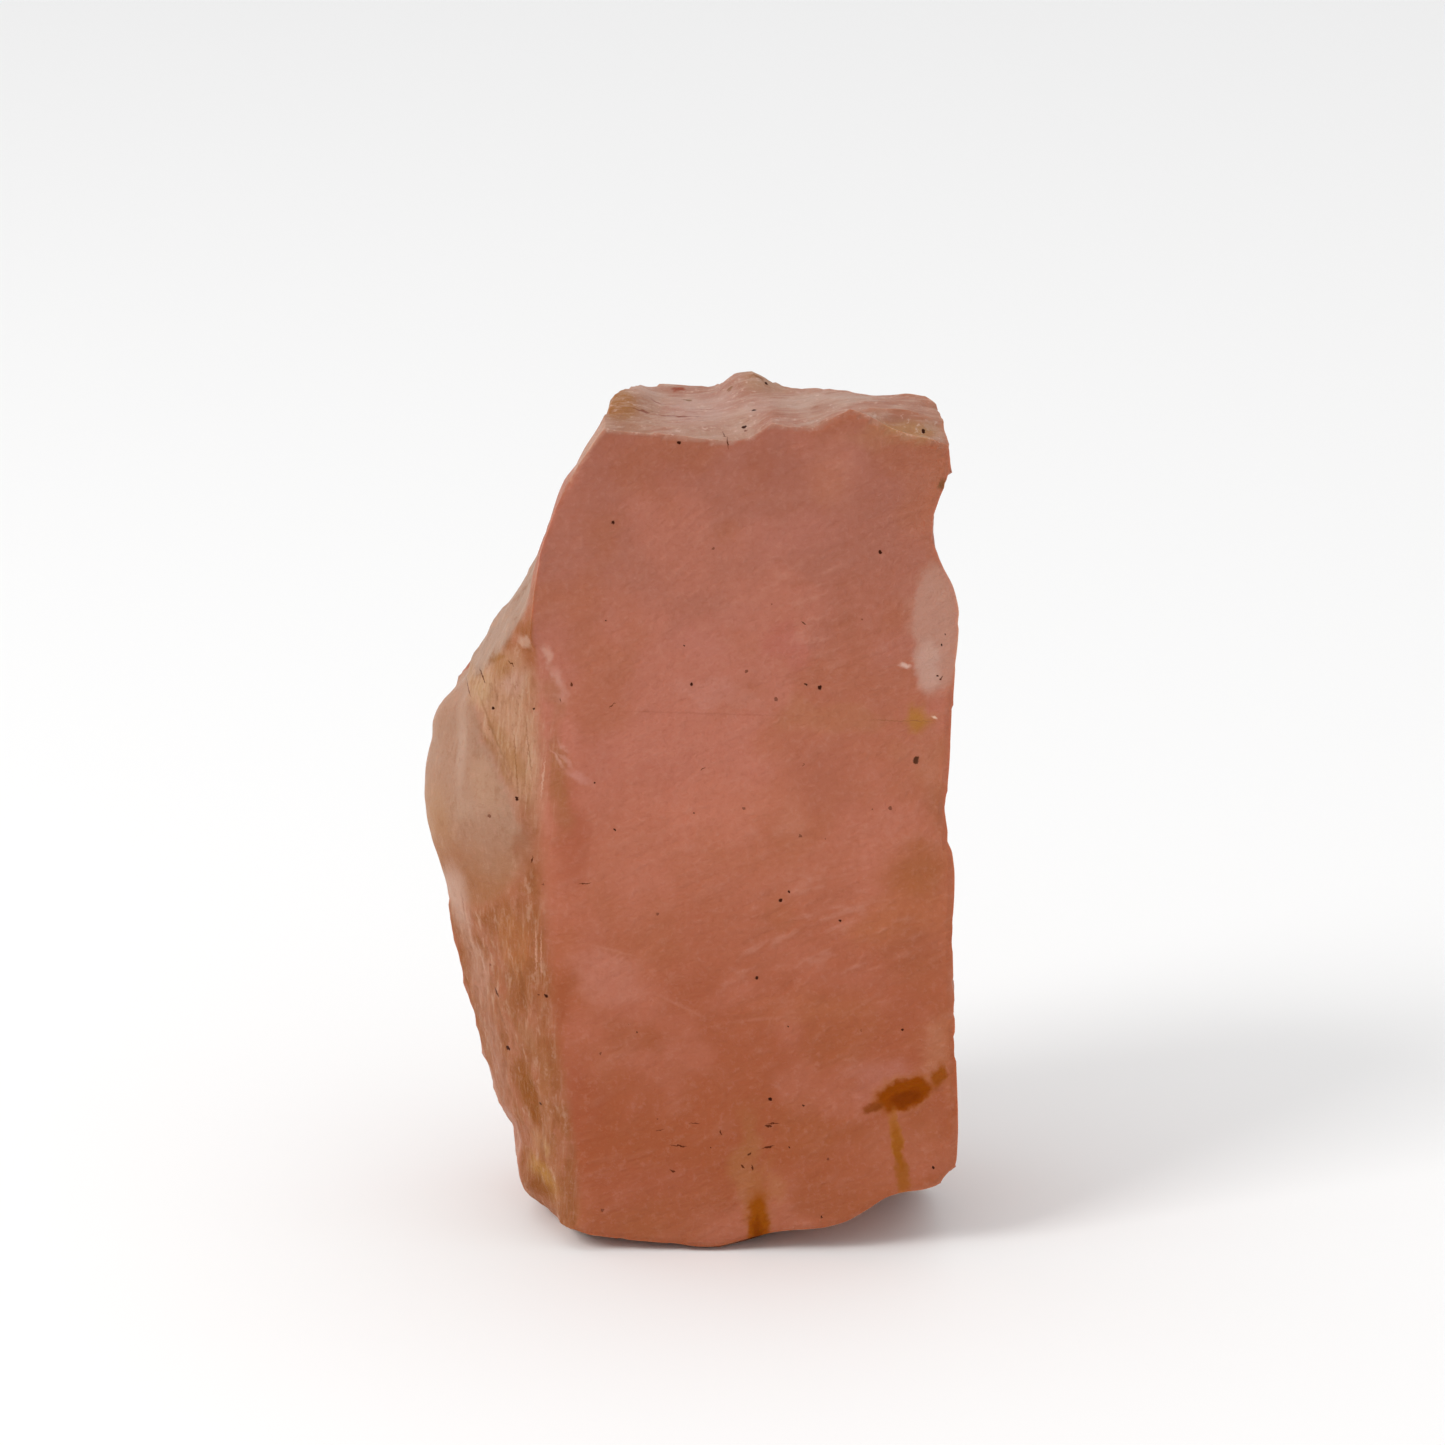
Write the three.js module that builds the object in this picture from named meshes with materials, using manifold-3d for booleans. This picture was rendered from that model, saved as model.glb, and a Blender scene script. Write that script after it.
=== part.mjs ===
// A broken lump of massive rose quartz, one solid stone: a tall block with a broad flat front,
// a slanting left flank that a smooth swelling breaks through, and a slightly tilted top.
// Millimetres, +Z up, the broad front towards -Y and the middle of the base at the origin.

import * as THREE from 'three';
import { mergeVertices } from 'three/addons/utils/BufferGeometryUtils.js';
import { ImprovedNoise } from 'three/addons/math/ImprovedNoise.js';
import Module from 'manifold-3d';

// Driving dimensions
const width = 64; // X, from the swelling to the right flank
const depth = 48; // Y, from the front to the back
const height = 101; // Z, from the base to the flat of the top

// Every place on the stone is written as [across, back, up], in hundredths of the width, the
// depth and the height, from the middle of the base.
const place = ([across, back, up]) => new THREE.Vector3(
  (across * width) / 100, (back * depth) / 100, (up * height) / 100);

const rawFoot = -6; // the raw column runs on past the base and the top, which then cut it
const rawHead = 108;
const wasteThickness = 40; // of whatever is cut away, mm
const rowStep = 2.6; // spacing of the rows of points up the flanks, mm
const lineStep = 2.2; // spacing of the points across the top and the underside, mm
const facetStep = 3.4; // spacing of the points on the smaller fracture faces, mm
const mostRows = 14; // of points between two lines across the top or the underside
const lumpAround = 40; // points around a rounded lump, and from one end of it to the other
const lumpAlong = 26;
const fineness = 2.3; // the finer unevenness is this many times smaller in its patches
const fineShare = 0.45; // and this strong beside the coarse one

// The front is one plane that leans back a little: its points need only [across, up].
const onFront = ([across, up]) => [across, -47 + 0.042 * up, up];

// The arrises, anticlockwise as seen from above. Each wall runs from its own arris to the next
// one in `steps` strips, and is broken unevenly by `relief` mm in patches of `grain` mm.
const arrises = [
  { // front left
    steps: 16, relief: 0.5, grain: 26,
    points: [[-21.2, 0], [-21.7, 4], [-23.4, 15], [-25, 23.5], [-26, 31], [-27, 36], [-26.9, 43],
      [-26.7, 51], [-26.3, 59.5], [-27.2, 67.5], [-28.4, 72.3], [-28, 78], [-26.3, 82.7],
      [-23.9, 88], [-20.1, 93], [-14.2, 98], [-6.5, 106]].map(onFront),
  },
  { // front right
    steps: 6, relief: 0.8, grain: 12,
    points: [[48.9, 0], [48.9, 11], [49.1, 15], [48.6, 23.5], [48.1, 31], [47.7, 39], [47.9, 46.5],
      [46.2, 53], [46.9, 58], [47.3, 65], [48, 72.3], [48.1, 77.5], [46.2, 80.8], [43.8, 83.3],
      [43.3, 86.5], [44, 89.2], [46.6, 91.6], [46.6, 94.2], [45.6, 97], [42, 106]].map(onFront),
  },
  { // middle of the right flank
    steps: 6, relief: 0.9, grain: 12,
    points: [[46.5, -8, 0], [48.7, -10, 10], [50, -6, 24], [48, -10, 36], [45, -14, 48], [44.3, -12, 60],
      [46, -8, 72], [45, -14, 84], [45.6, -18, 94], [43, -20, 106]],
  },
  { // back right
    steps: 9, relief: 1, grain: 15,
    points: [[40, 25, 0], [46, 32, 10], [48, 29, 27], [49, 34, 44], [48, 27, 57], [47.5, 21, 75],
      [45, 8, 90], [44, -4, 98], [42, -12, 106]],
  },
  { // back
    steps: 9, relief: 1, grain: 14,
    points: [[4, 42, 0], [8, 47, 12], [11, 49, 30], [6, 50, 48], [2, 47, 65], [0, 38, 85], [0, 20, 106]],
  },
  { // back left
    steps: 7, relief: 0.8, grain: 12,
    points: [[-24, 18, 0], [-30, 25, 12], [-39, 29, 27], [-43, 30, 38], [-46, 27, 46],
      [-46, 25, 52], [-42, 24, 60], [-36.5, 21, 67], [-27.5, 15, 76], [-20, 8, 86], [-11, 2, 96],
      [-4, 0, 106]],
  },
  { // outer left
    steps: 4, relief: 0.35, grain: 7,
    points: [[-32, -12, 0], [-32.4, -12.5, 4], [-32.3, -12.5, 7], [-33.2, -12.5, 9.3],
      [-35.2, -12.5, 11.8], [-37, -12.5, 15], [-39.2, -12.5, 19.5], [-41, -12.5, 25],
      [-43.4, -12.5, 31.5], [-45.2, -12.5, 37.5], [-45, -12.5, 42], [-44.5, -12, 50], [-45.4, -12, 60],
      [-45.2, -15, 65], [-39, -19, 68.8], [-36.5, -21, 72.3], [-32.6, -21, 75.5],
      [-28.9, -21, 79.5], [-26.4, -21, 83], [-23.8, -21, 87.2], [-20.6, -21, 90.8],
      [-17.6, -21, 94.2], [-14.5, -21, 97], [-11.3, -21, 100], [-5.5, -20, 106]],
  },
  { // crease between the two facets of the left flank
    steps: 5, relief: 0.35, grain: 7,
    points: [[-31, -27, 0], [-31.9, -27, 5.5], [-32.8, -27, 12], [-33.9, -27, 19], [-35.8, -27, 26],
      [-36.2, -27, 29.5], [-35.5, -27, 32.5], [-37.6, -27, 36], [-39.3, -27, 42.3], [-41, -26, 50],
      [-41, -26, 57], [-40, -28, 64], [-37, -30, 69.8], [-32.6, -31, 74], [-30.2, -31.5, 76.5],
      [-27.6, -34, 80], [-24, -34, 87], [-19, -34, 94], [-13.5, -34, 99.5], [-6.5, -32, 106]],
  },
];

// Lines across the top, front to back, left to right, and the relief of the strip behind each.
const crown = {
  relief: [0, 0.1, 0.35, 1.1, 1], grain: 9, seed: 40,
  lines: [
    [[-30, -60, 98], [-8, -60, 97.2], [2, -60, 96.4], [11, -60, 96.6], [14.5, -60, 98.1],
      [20, -60, 97.5], [25, -60, 98.3], [30, -60, 99.8], [33.4, -60, 98.4], [37.2, -60, 97],
      [45, -60, 95.8], [60, -60, 92]],
    [[-30, -42.3, 98], [-8, -42.3, 97.2], [2, -42.3, 96.4], [11, -42.3, 96.6], [14.5, -42.3, 98.1],
      [20, -42.3, 97.5], [25, -42.3, 98.3], [30, -42.3, 99.8], [33.4, -42.3, 98.4],
      [37.2, -42.3, 97], [45, -42.3, 95.8], [60, -42.3, 92]],
    [[-30, -38.5, 98.2], [-8, -38.5, 97.6], [2, -38, 96.9], [11, -38, 97.1], [14.5, -38.5, 98.3],
      [20, -38.5, 97.9], [25, -38.5, 98.6], [30, -38.5, 99.4], [34.4, -38.5, 99.2],
      [39, -38.5, 99.1], [45, -38.5, 97.5], [60, -38.5, 92]],
    [[-30, -6, 98.8], [-14.5, -10, 99.1], [-6.3, 0, 99.1], [1.9, 0, 98.9], [5.2, 0, 99.1],
      [7, -2, 99.8], [9.7, -4, 100.9], [12.3, -4, 100.6], [17, -6, 99.3], [27.5, -17, 99.8],
      [34.5, -23, 99.6], [42.5, -27, 100], [45.2, -31, 99], [48, -36, 96.4], [60, -36, 88]],
    [[-30, 20, 92], [-10, 46, 84], [10, 58, 78], [30, 46, 76], [48, 34, 74], [60, 30, 70]],
    [[-30, 80, 80], [0, 100, 70], [30, 90, 66], [60, 80, 60]],
  ],
};

// The lower edge of the front, as [across, up].
const heelEdge = [[-60, 18], [-32, 7.6], [-26.5, 5], [-21.7, 2.8], [-16.5, 2], [-9, 1.4],
  [-1.7, 1], [3.8, 0.6], [9.4, 1.5], [16.7, 2.7], [26, 3.5], [29.7, 4.3], [33.3, 5.8], [37, 7.4],
  [39.7, 7.8], [46.1, 8.6], [48.9, 10.8], [60, 18]];

// Lines across the underside, back to front. The stone lies flat between the second and the
// third of them, and the heel rises from there to the lower edge of the front.
const heel = {
  relief: [0.8, 0, 0.15, 0], grain: 8, seed: 50,
  lines: [
    [[-60, 90, 12], [-20, 90, 9], [20, 90, 14], [60, 90, 12]],
    [[-60, 22, -1], [-25, 30, -0.6], [10, 40, -0.6], [35, 40, -0.6], [60, 40, -1]],
    [[-60, 60, 0], [-32, 6, 0], [-26.5, -14, 0], [-22, -30, 0], [-15, -36, 0], [-8, -38, 0],
      [0, -41, 0], [4, -44, 0], [9.4, -40, 0], [16.7, -31, 0], [26, -21, 0], [33, -4, 0],
      [40, 8, 0], [49, 26, 0], [60, 40, 0]],
    ...[-47.4, -70].map((back) => heelEdge.map(([across, up]) => [across, back, up])),
  ],
};

// The swelling on the left flank, and the flat ledge that ends it below. A face looks towards
// turn [azimuth, rise] in degrees, azimuth 0 being the front and 90 the right.
const swelling = { at: [-12.5, -4, 50.5], radii: [37.2, 40, 21.8], relief: 0.3, grain: 10, seed: 60 };
const ledge = { at: [-37, -25, 45.4], turn: [90, -65], hollow: 400, relief: 0.2, grain: 8, seed: 61 };

// The chip out of the right edge near the top.
const chip = { at: [49.8, -46, 87.2], radii: [6, 20, 3.6], relief: 0.1, grain: 4, seed: 70 };

// Smaller fracture faces that take off the corners at the back, dished to a radius of `hollow` mm.
const facets = [
  { at: [-37.5, 19, 60], turn: [-124, 16], hollow: 150, relief: 0.7, grain: 13, seed: 80 },
  { at: [-35.5, 25, 31], turn: [-133, -17], hollow: 120, relief: 0.8, grain: 12, seed: 81 },
  { at: [3, 42, 25], turn: [-170, -9], hollow: 160, relief: 0.8, grain: 14, seed: 82 },
  { at: [28, 35.5, 62], turn: [146, 14], hollow: 110, relief: 0.8, grain: 12, seed: 83 },
  { at: [39, 24, 15], turn: [128, -20], hollow: 130, relief: 0.7, grain: 11, seed: 84 },
  { at: [-14, 32, 74], turn: [-158, 31], hollow: 140, relief: 0.8, grain: 12, seed: 85 },
  { at: [47.6, -2, 70], turn: [97, 9], hollow: 140, relief: 0.6, grain: 10, seed: 86 },
];

const wasm = await Module();
wasm.setup();
const noise = new ImprovedNoise();

// Coarse and fine unevenness over a surface, between -1 and 1 or so.
function uneven(point, grain, seed) {
  const coarse = point.clone().divideScalar(grain);
  const fine = coarse.clone().multiplyScalar(fineness);
  return noise.noise(coarse.x, coarse.y, coarse.z + seed)
    + fineShare * noise.noise(fine.x, fine.y, fine.z - seed);
}

// Relief swells between two lines and dies out on them.
const fade = (between) => Math.sqrt(Math.sin(Math.PI * THREE.MathUtils.clamp(between, 0, 1)));

// A smooth line through points, read by one of their coordinates (0 across, 2 up).
function thread(points, axis) {
  const places = points.map(place);
  const stations = places.map((point) => point.getComponent(axis));
  const line = new THREE.CubicInterpolant(stations, places.flatMap((point) => point.toArray()), 3);
  return (station) => new THREE.Vector3().fromArray(line.evaluate(station)).setComponent(axis, station);
}

// A closed geometry as a solid: only its positions are kept, and shared points are merged.
function solidOf(geometry) {
  geometry.deleteAttribute('normal');
  geometry.deleteAttribute('uv');
  const merged = mergeVertices(geometry, 1e-4);
  return new wasm.Manifold(new wasm.Mesh({
    numProp: 3,
    vertProperties: merged.attributes.position.array,
    triVerts: Uint32Array.from(merged.index.array),
  }));
}

// Moves every vertex of a geometry to the place that `move` gives for it.
function reshaped(geometry, move) {
  const vertices = geometry.attributes.position;
  const point = new THREE.Vector3();
  for (let i = 0; i < vertices.count; i += 1) {
    const moved = move(point.fromBufferAttribute(vertices, i));
    vertices.setXYZ(i, moved.x, moved.y, moved.z);
  }
  return geometry;
}

// The flanks: a column whose section at each height joins the arrises.
function flanks() {
  const threads = arrises.map(({ points }) => thread(points, 2));
  const strips = arrises.flatMap(({ steps }, wall) => (
    Array.from({ length: steps }, (_, step) => ({ wall, between: step / steps }))));
  const rows = Math.round(((rawHead - rawFoot) * height) / 100 / rowStep);
  const column = new THREE.CylinderGeometry(1, 1, rawHead - rawFoot, strips.length, rows);
  column.rotateX(Math.PI / 2);
  return solidOf(reshaped(column, (point) => {
    const up = ((point.z + (rawHead + rawFoot) / 2) * height) / 100;
    const onAxis = Math.hypot(point.x, point.y) < 0.5;
    if (onAxis) return new THREE.Vector3(0, 0, up);
    const turn = Math.atan2(point.x, -point.y) / (2 * Math.PI);
    const { wall, between } = strips[Math.round(turn * strips.length + strips.length) % strips.length];
    const from = threads[wall](up);
    const to = threads[(wall + 1) % threads.length](up);
    const { relief, grain } = arrises[wall];
    const outward = new THREE.Vector3(to.y - from.y, from.x - to.x, 0).normalize();
    const spot = from.lerp(to, between);
    return spot.addScaledVector(outward, relief * fade(between) * uneven(spot, grain, wall));
  }));
}

// A sheet stretched over lines that run left to right, with the stone's waste as thick as
// `away` on the other side of it.
function waste({ lines, relief, grain, seed }, away) {
  const threads = lines.map((line) => thread(line, 0));
  const left = place(lines[0][0]).x;
  const right = place(lines[0].at(-1)).x;
  const widths = lines.slice(1).map((line, strip) => place(line[1]).distanceTo(place(lines[strip][1])));
  const counts = widths.map((wide) => THREE.MathUtils.clamp(Math.round(wide / lineStep), 1, mostRows));
  const rows = counts.flatMap((count, strip) => (
    Array.from({ length: count }, (_, step) => ({ strip, between: step / count }))));
  rows.push({ strip: lines.length - 2, between: 1 });
  const columns = Math.round((right - left) / lineStep);
  const slab = new THREE.BoxGeometry(1, 1, 1, columns, rows.length - 1, 1);
  return solidOf(reshaped(slab, (point) => {
    const { strip, between } = rows[Math.round((point.y + 0.5) * (rows.length - 1))];
    const across = THREE.MathUtils.lerp(left, right, point.x + 0.5);
    const spot = threads[strip](across).lerp(threads[strip + 1](across), between);
    spot.z += relief[strip] * fade(between) * uneven(spot, grain, seed);
    return spot.addScaledVector(away, point.z + 0.5);
  }));
}

// A rounded lump.
function lump({ at, radii, relief, grain, seed }) {
  const size = place(radii);
  const middle = place(at);
  return solidOf(reshaped(new THREE.SphereGeometry(1, lumpAround, lumpAlong), (point) => {
    const spot = point.clone().multiply(size).add(middle);
    return spot.addScaledVector(point, relief * uneven(spot, grain, seed));
  }));
}

// The space beyond a fracture face through a place.
function beyond({ at, turn, hollow, relief, grain, seed }) {
  const [azimuth, rise] = turn.map(THREE.MathUtils.degToRad);
  const outward = new THREE.Vector3(Math.sin(azimuth) * Math.cos(rise),
    -Math.cos(azimuth) * Math.cos(rise), Math.sin(rise));
  const side = 2 * width;
  const steps = Math.round(side / facetStep);
  const space = new THREE.BoxGeometry(side, side, wasteThickness, steps, steps, 1);
  reshaped(space, (point) => {
    if (point.z > 0) return new THREE.Vector3(point.x, point.y, wasteThickness);
    const dish = (point.x ** 2 + point.y ** 2) / (2 * hollow);
    return new THREE.Vector3(point.x, point.y, dish + relief * uneven(point, grain, seed));
  });
  space.applyQuaternion(new THREE.Quaternion().setFromUnitVectors(new THREE.Vector3(0, 0, 1), outward));
  const middle = place(at);
  space.translate(middle.x, middle.y, middle.z);
  return solidOf(space);
}

// Everything under the base, which is flat.
function ground() {
  const space = new THREE.BoxGeometry(2 * width, 2 * depth, wasteThickness);
  space.translate(0, 0, -wasteThickness / 2);
  return solidOf(space);
}

const whole = flanks()
  .add(lump(swelling).subtract(beyond(ledge)))
  .subtract(waste(crown, new THREE.Vector3(0, 0, wasteThickness)))
  .subtract(waste(heel, new THREE.Vector3(0, 0, -wasteThickness)))
  .subtract(lump(chip));
const stone = facets
  .reduce((left, facet) => left.subtract(beyond(facet)), whole)
  .subtract(ground());

const { numProp, vertProperties, triVerts } = stone.getMesh();
const geometry = new THREE.BufferGeometry();
geometry.setAttribute('position', new THREE.BufferAttribute(vertProperties, numProp));
geometry.setIndex(new THREE.BufferAttribute(triVerts, 1));
geometry.computeVertexNormals();
geometry.computeBoundingBox();
const middle = geometry.boundingBox.getCenter(new THREE.Vector3());
geometry.translate(-middle.x, -middle.y, 0); // the origin is the middle of the footprint

const roseQuartz = new THREE.MeshStandardMaterial({ color: 0xb76f58, roughness: 0.45, metalness: 0 });
const mesh = new THREE.Mesh(geometry, roseQuartz);
mesh.name = 'rose_quartz';
const part = new THREE.Group();
part.add(mesh);

export default part;
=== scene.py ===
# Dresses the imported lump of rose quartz: the relief of its broken faces, the cloudy stone with
# its veils, stains and specks, and a plain studio around it.

import math

import bmesh
import bpy
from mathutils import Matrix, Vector, kdtree, noise


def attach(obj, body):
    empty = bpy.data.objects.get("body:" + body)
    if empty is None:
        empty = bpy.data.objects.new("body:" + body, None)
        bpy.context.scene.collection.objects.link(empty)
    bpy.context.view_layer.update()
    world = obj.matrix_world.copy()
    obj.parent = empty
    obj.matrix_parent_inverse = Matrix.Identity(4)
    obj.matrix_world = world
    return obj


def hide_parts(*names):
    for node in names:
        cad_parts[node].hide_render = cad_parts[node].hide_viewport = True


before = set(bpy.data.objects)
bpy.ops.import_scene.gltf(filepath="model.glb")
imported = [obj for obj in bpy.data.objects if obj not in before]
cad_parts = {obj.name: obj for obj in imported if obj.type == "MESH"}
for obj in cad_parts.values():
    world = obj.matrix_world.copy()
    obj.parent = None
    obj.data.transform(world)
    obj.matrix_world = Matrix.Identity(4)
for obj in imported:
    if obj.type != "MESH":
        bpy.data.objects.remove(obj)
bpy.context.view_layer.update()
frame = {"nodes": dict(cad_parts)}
mm = 0.001
print("frame loaded:", ", ".join(frame["nodes"]))


def ease(low, high, value):  # 0 at low, 1 at high, even in between
    t = min(max((value - low) / (high - low), 0), 1)
    return t * t * (3 - 2 * t)


def tone(code):  # a screen colour such as "b47361", as nodes want it
    parts = [int(code[i:i + 2], 16) / 255 for i in (0, 2, 4)]
    return (*[c / 12.92 if c <= 0.04045 else ((c + 0.055) / 1.055) ** 2.4 for c in parts], 1)


# The mesh of the stone: a remeshed copy of the solid, smooth between its arrises.

stone = {
    "name": "rose_quartz_lump",
    "merge": 0.01,  # corners of the solid nearer than this are one, mm
    "depth": 8, "fill": 0.66,  # of the remesh: together they give cells of 0.6 mm
    "arris": 27,  # faces meeting more sharply than this keep their arris, degrees
    "fold": 95, "foldRounds": 4,  # and more sharply than this are a fault to smooth out
    "rounds": 24, "arrisRounds": 3,  # of smoothing between the arrises and along them
    "base": 0.05,  # points this near the floor stay flat, mm
    "crisp": 38,  # shading breaks over sharper arrises than this, degrees
}

# Where the stone is worn soft, arrises and all: from, to, and the rounds of smoothing.
far = 999
wornParts = [
    ((-far, -far, 38), (-17, far, 50.5), 110),  # under the swelling
    ((-far, -far, 61), (-22, -1, 76), 10),  # above it
    ((-far, -far, 0.6), (-16.5, -1, 9.5), 16),  # the left foot
    ((-21.5, -far, 3), (-13, -13, 73), 130),  # along the front's left arris
]


def sharperThan(edge, degrees):
    return len(edge.link_faces) == 2 and edge.calc_face_angle(0) > math.radians(degrees)


def smoothPoints(bm, points, rounds):
    for _ in range(rounds):
        bmesh.ops.smooth_vert(bm, verts=points, factor=0.5, use_axis_x=True, use_axis_y=True,
                              use_axis_z=True)


def remeshed(node, name):
    piece = bpy.data.objects.new(name, node.data.copy())
    bpy.context.scene.collection.objects.link(piece)
    bm = bmesh.new()
    bm.from_mesh(piece.data)
    bmesh.ops.remove_doubles(bm, verts=bm.verts, dist=stone["merge"] * mm)
    bm.to_mesh(piece.data)
    bm.free()
    remesh = piece.modifiers.new("remesh", "REMESH")
    remesh.mode = "SHARP"
    remesh.octree_depth = stone["depth"]
    remesh.scale = stone["fill"]
    shaped = piece.evaluated_get(bpy.context.evaluated_depsgraph_get())
    finer = bpy.data.meshes.new_from_object(shaped)
    piece.modifiers.clear()
    piece.data = finer
    piece.data.name = name
    piece.data.materials.clear()
    return piece


def within(place, low, high):
    return all(a < b < c for a, b, c in zip(low, place / mm, high))


def relax(bm):
    for _ in range(stone["foldRounds"]):
        folded = {v for e in bm.edges if sharperThan(e, stone["fold"]) for v in e.verts}
        smoothPoints(bm, list(folded), 1)
    arris = [e for e in bm.edges if sharperThan(e, stone["arris"])]
    onArris = {v for e in arris for v in e.verts}
    onBase = {v for v in bm.verts if v.co.z < stone["base"] * mm}
    nextTo = {v: [] for v in onArris}
    for e in arris:
        for v in e.verts:
            nextTo[v].append(e.other_vert(v))
    for _ in range(stone["arrisRounds"]):
        moves = {v: (2 * v.co + near[0].co + near[1].co) / 4
                 for v, near in nextTo.items() if len(near) == 2 and v not in onBase}
        for v, place in moves.items():
            v.co = place
    for low, high, rounds in wornParts:
        smoothPoints(bm, [v for v in bm.verts if within(v.co, low, high)], rounds)
    for low, high, _ in wornParts:
        onArris = {v for v in onArris if not within(v.co, low, high)}
    smoothPoints(bm, [v for v in bm.verts if v not in onArris and v not in onBase], stone["rounds"])
    return onArris


lump = remeshed(frame["nodes"]["rose_quartz"], stone["name"])
bm = bmesh.new()
bm.from_mesh(lump.data)
arrisPoints = relax(bm)
bm.normal_update()
print("remeshed:", len(bm.verts), "points")

# The relief of each kind of break, in mm along the normal of the smooth stone.

relief = {
    "front": {"swell": 0.26, "swellGrain": 15, "fine": 0.05, "fineGrain": 3.2},
    "ripples": {"at": (15, 38), "reach": (18, 12), "rise": 25, "spacing": 2.2, "height": 0.085,
                "wander": 1.6, "wanderGrain": 9},
    "arcs": {"at": (16, 78), "reach": (9, 10), "about": (8, 72), "spacing": 2.4, "height": 0.07,
             "wander": 1.5, "wanderGrain": 8},
    "top": {"scar": 8, "scarDepth": 0.28, "streak": 0.14, "along": 7, "across": 1.1},
    "fibres": {"scar": 5, "scarDepth": 0.3, "streak": 0.2, "along": 9, "across": 1.25},
    "outer": {"scar": 4.6, "scarDepth": 0.5, "streak": 0.22, "along": 6, "across": 1.6},
    "swelling": {"at": (-8.16, -2.59, 51), "radii": (23.8, 19.2, 22), "height": 0.16, "grain": 7},
    "hidden": {"scar": 14, "scarDepth": 1.8, "small": 5, "smallDepth": 0.5,
               "fine": 0.16, "fineGrain": 1.6, "fade": 4},
    "chips": {"reach": 1.5, "depth": 0.36, "grain": 3.4, "spread": 8, "proud": 0.34, "least": 0.25},
    "flatBelow": (0.2, 2.2),  # relief fades in above the base over these heights, mm
    "seed": 1,  # of the noise vectors, so that each run gives the same stone; never 0
}
noise.seed_set(relief["seed"])

# Gentle rises and hollows: the middle, the reach and the height, all in mm.
rises = [
    ((-27, -6, 47), (7, 9, 11), 0.7), ((-7, -8, 99.4), (4, 9, 2.6), 0.9),
    ((6.4, -5, 101), (4.6, 6, 3), 0.7), ((-15.6, -8, 90.3), (5, 14, 6), 0.55),
    ((-27.8, -7.4, 66.4), (4, 9, 4.2), -1.1), ((-29.8, -5, 60.7), (3.4, 9, 3.4), 0.8),
    ((-20.4, -12, 10.8), (4, 10, 4), -0.6), ((-19, -13, 4.4), (4, 9, 3), 0.35),
]

# Between which values each kind of break or wear, and the painted shade along the right
# arrises, comes in: of the normal, the noise, or the place in mm.
limits = {
    "frontFacing": (0.84, 0.96), "frontDepth": (-12, -16),
    "topFacing": (0.3, 0.6), "topHeight": (86, 90),
    "offShell": (0.02, 0.06), "tipSide": (-23, -25),
    "bulgeAcross": (6.2, 4), "bulgeDepth": (3, -2),
    "leftFacing": (-0.1, -0.3), "leftDepth": (-1, -6), "leftSide": (-2, -6),
    "outerFacing": (-0.35, -0.15), "outerHeight": (50, 44),
    "lowStrands": (46, 38),
    "chips": (-0.05, 0.5), "chipSpread": (-0.3, 0.4), "chipSide": (-16, -6),
    "rises": (0.2, 1),
    "proudSide": (8, 16), "proudDepth": (-12, -18),
    # the first pair gives where the painted shade along the right arrises comes in, x in mm
    "shadedRightEdge": (14, 20), "strandsEnd": (75, 84), "bulgeLow": (42, 53), "sideDrift": (-9, -3),
}


def wavy(place, grain, seed):  # about -1 to 1
    return noise.fractal(place / grain + Vector((seed, -seed, 0.5 * seed)), 0.6, 2, 3)


def scars(place, size, seed):  # dished shell breaks that meet in ridges, about -0.5 to 0.5
    shift = noise.noise_vector(place / (1.3 * size) + Vector((seed, 0, 0))) * 0.45
    near = noise.voronoi(place / size + shift + Vector((0, seed, 0)))[0][0]
    return 1.7 * near * near - 0.5


def fibres(place, across, along, seed):  # long ridges up the stone
    drawn = Vector(((place.x - 0.35 * place.z) / across, place.y / across, place.z / along + seed))
    return noise.noise(drawn) + 0.5 * noise.noise(drawn * 2.1)


def offFrom(place, at, reach):  # 0 at the middle of an oval lump of space, 1 at its edge
    return Vector((place[i] - at[i]) / reach[i] for i in range(3)).length


def patch(place, at, reach, core=0.35):  # 1 in the core of an oval of the front's plane, 0 outside
    off = math.hypot((place.x - at[0]) / reach[0], (place.z - at[1]) / reach[1])
    return 1 - ease(core, 1, off)


def comesIn(name, value):
    return ease(*limits[name], value)


def frontRelief(p):
    front, ripples, arcs = relief["front"], relief["ripples"], relief["arcs"]
    height = front["swell"] * wavy(p, front["swellGrain"], 3)
    height += front["fine"] * wavy(p, front["fineGrain"], 5)
    lean = math.radians(ripples["rise"])
    along = p.z * math.cos(lean) - p.x * math.sin(lean)
    along += ripples["wander"] * wavy(p, ripples["wanderGrain"], 8)
    wave = math.sin(2 * math.pi * along / ripples["spacing"])
    height += ripples["height"] * patch(p, ripples["at"], ripples["reach"]) * wave
    out = math.hypot(p.x - arcs["about"][0], p.z - arcs["about"][1])
    out += arcs["wander"] * wavy(p, arcs["wanderGrain"], 9)
    wave = math.sin(2 * math.pi * out / arcs["spacing"])
    return height + arcs["height"] * patch(p, arcs["at"], arcs["reach"]) * wave


def topRelief(p):
    t = relief["top"]
    streak = noise.noise(Vector((p.x / t["along"] + 0.3 * p.y, p.y / t["across"], 3)))
    return t["scarDepth"] * scars(p, t["scar"], 21) + t["streak"] * streak


def fibreRelief(p):
    f = relief["fibres"]
    height = f["streak"] * fibres(p, f["across"], f["along"], 2)
    return height + f["scarDepth"] * scars(p, f["scar"], 31)


def outerRelief(p):
    o = relief["outer"]
    height = o["scarDepth"] * scars(p, o["scar"], 41)
    return height + o["streak"] * fibres(p, o["across"], o["along"], 4)


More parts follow.
